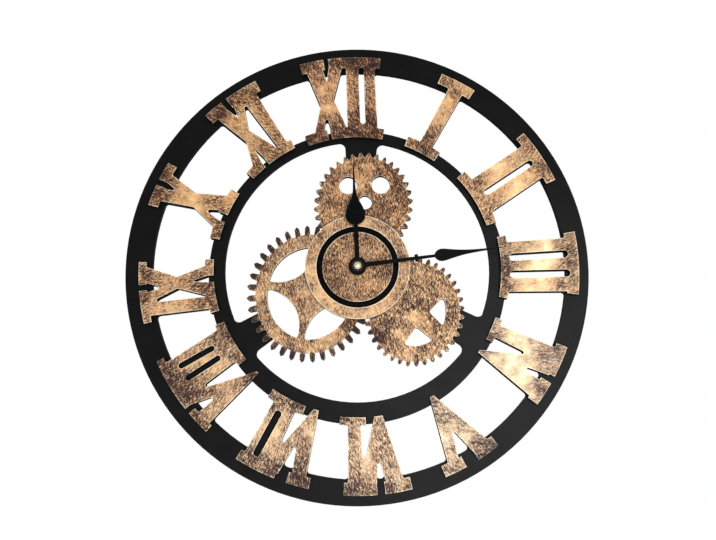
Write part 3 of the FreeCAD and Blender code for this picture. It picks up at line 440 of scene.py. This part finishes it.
def circuit(name):
    """Green board with pale tracks under the varnish."""
    shades = Shades(name)
    tracks = shades.tree.nodes.new("ShaderNodeTexVoronoi")
    tracks.feature = "DISTANCE_TO_EDGE"
    tracks.inputs["Scale"].default_value = 0.45
    shades.tree.links.new(shades.place, tracks.inputs["Vector"])
    line = shades.ramp(tracks.outputs["Distance"], low=0.05, high=0.12, to_low=1.0, to_high=0.0)
    cloud = shades.noise(1.2)
    green = shades.between(cloud, rgb(14, 62, 32), rgb(24, 84, 44))
    rough = shades.ramp(cloud, to_low=0.28, to_high=0.42)
    return shades.finish(shades.mix(line, green, rgb(60, 128, 74)), rough,
                         shades.bump(line, strength=0.3, depth=0.05))


def sleeve(name):
    """Plain printed sleeve round a cell, bare metal at its ends."""
    shades = Shades(name)
    split = shades.tree.nodes.new("ShaderNodeSeparateXYZ")
    shades.tree.links.new(shades.place, split.inputs[0])
    along = split.outputs[0]
    low, high = [corner[0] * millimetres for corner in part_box("battery")]
    nub_end = shades.ramp(along, high - nub_length, high - nub_length + nub_fade)
    flat_end = shades.ramp(along, low + flat_end_from, low + flat_end_to, 1.0, 0.0)
    metal = shades.maths("ADD", nub_end, flat_end, clamp=True)
    band = shades.ramp(along, high - band_length, high - band_length + band_fade)
    haze = shades.noise(6.0)
    body = shades.between(haze, rgb(34, 50, 74), rgb(44, 62, 90))
    top = shades.between(haze, rgb(176, 120, 60), rgb(200, 142, 76))
    steel = shades.between(haze, rgb(168, 168, 166), rgb(206, 206, 204))
    paint = shades.mix(metal, shades.mix(band, body, top), steel)
    rough = shades.ramp(haze, to_low=0.22, to_high=0.32)
    return shades.finish(paint, rough, shades.bump(haze, strength=0.1, depth=0.05), metal)


def dress(material, *names):
    """Give the material to CAD nodes."""
    for name in names:
        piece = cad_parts[name]
        piece.data.materials.clear()
        piece.data.materials.append(material)


# Twelve numerals, golden across their middles and brown at both ends.
# Their gold and hue partly paint the light: lighter on the right side, palest at IV and V where
# a highlight falls, warmer at the top left and cooler at the bottom right.
# Gold, hatch, how much darker the ends are, green, blue
numeral_tones_and_painted_light = {
    "i": (0.13, 1.0, 0.30, 0.95, 0.89),
    "ii": (0.20, 1.0, 0.30, 0.97, 0.94),
    "iii": (0.17, 0.8, 0.30, 1.06, 1.13),
    "iv": (0.20, 0.6, 0.32, 1.18, 1.45),
    "v": (0.16, 0.8, 0.34, 1.20, 1.48),
    "vi": (0.06, 1.0, 0.30, 1.11, 1.28),
    "vii": (0.04, 1.0, 0.30, 1.08, 1.20),
    "viii": (0.05, 1.0, 0.30, 1.03, 1.08),
    "ix": (0.12, 1.0, 0.30, 0.98, 0.96),
    "x": (0.18, 1.0, 0.30, 0.93, 0.83),
    "xi": (0.07, 1.0, 0.30, 0.93, 0.83),
    "xii": (-0.08, 1.0, 0.30, 0.89, 0.84),
}
for hour, (numeral, (gold, hatch, depth, green, blue)) in enumerate(numeral_tones_and_painted_light.items(), 1):
    dress(bronze("bronze_" + numeral, hour, gold, hatch, wear=worn_ends(depth),
                 lean=numeral_lean - hour * hour_angle, green=green, blue=blue),
          "numeral_" + numeral)

# Gears: the centre, half width and half height of their artwork in millimetres
dress(bronze("bronze_top_gear", 13, -0.17, edge_width=1.3, green=0.92, blue=0.85,
             wear=worn_teeth((5.1, 55.7), 43.1, 47.3, start=0.88, depth=0.18)), "top_gear")
dress(bronze("bronze_left_gear", 14, -0.07, hatch=0.9, edge_width=1.3,
             wear=worn_teeth((-40.8, -22.1), 54.0, 59.5, start=0.82, depth=0.62)), "left_gear")
dress(bronze("bronze_right_gear", 15, -0.14, edge_width=1.3,
             wear=worn_teeth((48.5, -37.6), 42.9, 47.0, start=0.88, depth=0.34)), "right_gear")
dress(bronze("bronze_centre_plate", 16, -0.19, edge_width=2.0, green=0.96, blue=0.92,
             patches=0.5), "centre_plate")
dress(bronze("bronze_centre_rim", 17, -0.01, hatch=0.9, edge_width=2.0, patches=0.6),
      "centre_rim")

dress(black_board("satin_black_board", rgb(9, 9, 9), rgb(15, 14, 14), specular=0.06),
      "dial_board", "hub_spacer")
dress(black_board("deep_black_disc", rgb(3, 2, 2), rgb(7, 6, 6), specular=0.02), "centre_disc")
dress(gloss_black("gloss_black_hand"), "hour_hand", "minute_hand")

dress(turned_metal("polished_cap", rgb(132, 114, 84), rgb(222, 208, 176), rough=0.16), "hand_cap")
dress(turned_metal("turned_brass", rgb(148, 112, 58), rgb(206, 168, 102), rough=0.28),
      "threaded_bush", "brass_washer", "hex_nut", "minute_arbor")
dress(turned_metal("spring_steel", rgb(150, 150, 152), rgb(202, 202, 204), rough=0.26),
      "positive_contact", "negative_contact", "crystal")
dress(turned_metal("soft_iron", rgb(92, 92, 96), rgb(140, 140, 144), rough=0.38),
      "stator", "coil_core")
dress(turned_metal("dark_magnet", rgb(42, 42, 46), rgb(70, 70, 74), rough=0.42), "rotor_magnet")

dress(plastic("black_case_plastic", rgb(22, 22, 23), rgb(36, 36, 37), rough=0.52),
      "movement_case", "back_cover")
dress(plastic("white_wheel_plastic", rgb(214, 212, 204), rgb(236, 234, 226), rough=0.40),
      "hour_wheel", "minute_wheel", "centre_wheel", "third_wheel", "second_wheel", "fifth_wheel",
      "rotor", "middle_plate", "train_bridge")
dress(plastic("pale_knob_plastic", rgb(196, 192, 180), rgb(222, 218, 206), rough=0.36),
      "setting_knob")
dress(plastic("black_washer_rubber", rgb(18, 18, 18), rgb(34, 33, 32), rough=0.78, fine=0.4,
              specular=0.2), "rubber_washer")
dress(plastic("black_chip_resin", rgb(12, 12, 13), rgb(28, 28, 29), rough=0.30), "chip")

dress(winding("copper_winding"), "coil")
dress(circuit("green_circuit"), "circuit_board")
dress(sleeve("cell_sleeve"), "battery")


def white_to_camera(tree, light_level, seen_level):
    """One level for the light itself, and another for what camera, mirrors and glass see."""
    path = tree.nodes.new("ShaderNodeLightPath")
    seen = path.outputs["Is Camera Ray"]
    for kind in ("Is Glossy Ray", "Is Transmission Ray"):
        either = tree.nodes.new("ShaderNodeMath")
        either.operation = "MAXIMUM"
        tree.links.new(seen, either.inputs[0])
        tree.links.new(path.outputs[kind], either.inputs[1])
        seen = either.outputs[0]
    level = tree.nodes.new("ShaderNodeMapRange")
    tree.links.new(seen, level.inputs["Value"])
    level.inputs["To Min"].default_value = light_level
    level.inputs["To Max"].default_value = seen_level
    return level.outputs["Result"]


scene = bpy.context.scene

for name, (place, side, power) in lamps.items():
    lamp_data = bpy.data.lights.new(name, "AREA")
    lamp_data.shape = "RECTANGLE"
    lamp_data.size = lamp_data.size_y = side
    lamp_data.energy = power
    lamp = bpy.data.objects.new(name, lamp_data)
    lamp.location = place
    lamp.rotation_euler = (-Vector(place)).to_track_quat("-Z", "Y").to_euler()
    scene.collection.objects.link(lamp)

world = bpy.data.worlds.new("studio")
world.use_nodes = True
scene.world = world
sky = world.node_tree.nodes["Background"]
sky.inputs["Color"].default_value = white
world.node_tree.links.new(white_to_camera(world.node_tree, world_level, background_level),
                          sky.inputs["Strength"])

floor_mesh = bpy.data.meshes.new("floor")
corners = [(across * floor_reach, along * floor_reach, floor_height)
           for across, along in ((-1, -1), (1, -1), (1, 1), (-1, 1))]
floor_mesh.from_pydata(corners, [], [(0, 1, 2, 3)])
floor = bpy.data.objects.new("floor", floor_mesh)
scene.collection.objects.link(floor)
pale = Shades("pale_floor")
dust = pale.noise(floor_dust_size, detail=3.0)
pale.shader.inputs["Emission Color"].default_value = white
pale.put(pale.shader.inputs["Emission Strength"], white_to_camera(pale.tree, 0.0, floor_glow))
floor_mesh.materials.append(pale.finish(
    pale.between(dust, (floor_shade,) * 3 + (1.0,), (floor_dust_shade,) * 3 + (1.0,)),
    floor_rough, specular=floor_specular))

camera_data = bpy.data.cameras.new("camera")
camera_data.sensor_width = sensor_width
camera_data.lens = focal_pixels / photo_width * sensor_width
camera = bpy.data.objects.new("camera", camera_data)
azimuth = math.radians(camera_azimuth)
elevation = math.radians(camera_elevation)
outward = Vector((math.sin(azimuth) * math.cos(elevation),
                  -math.cos(azimuth) * math.cos(elevation),
                  math.sin(elevation)))
camera.location = camera_target + outward * camera_distance
camera.rotation_euler = (-outward).to_track_quat("-Z", "Y").to_euler()
scene.collection.objects.link(camera)
scene.camera = camera

scene.view_settings.view_transform = "Standard"
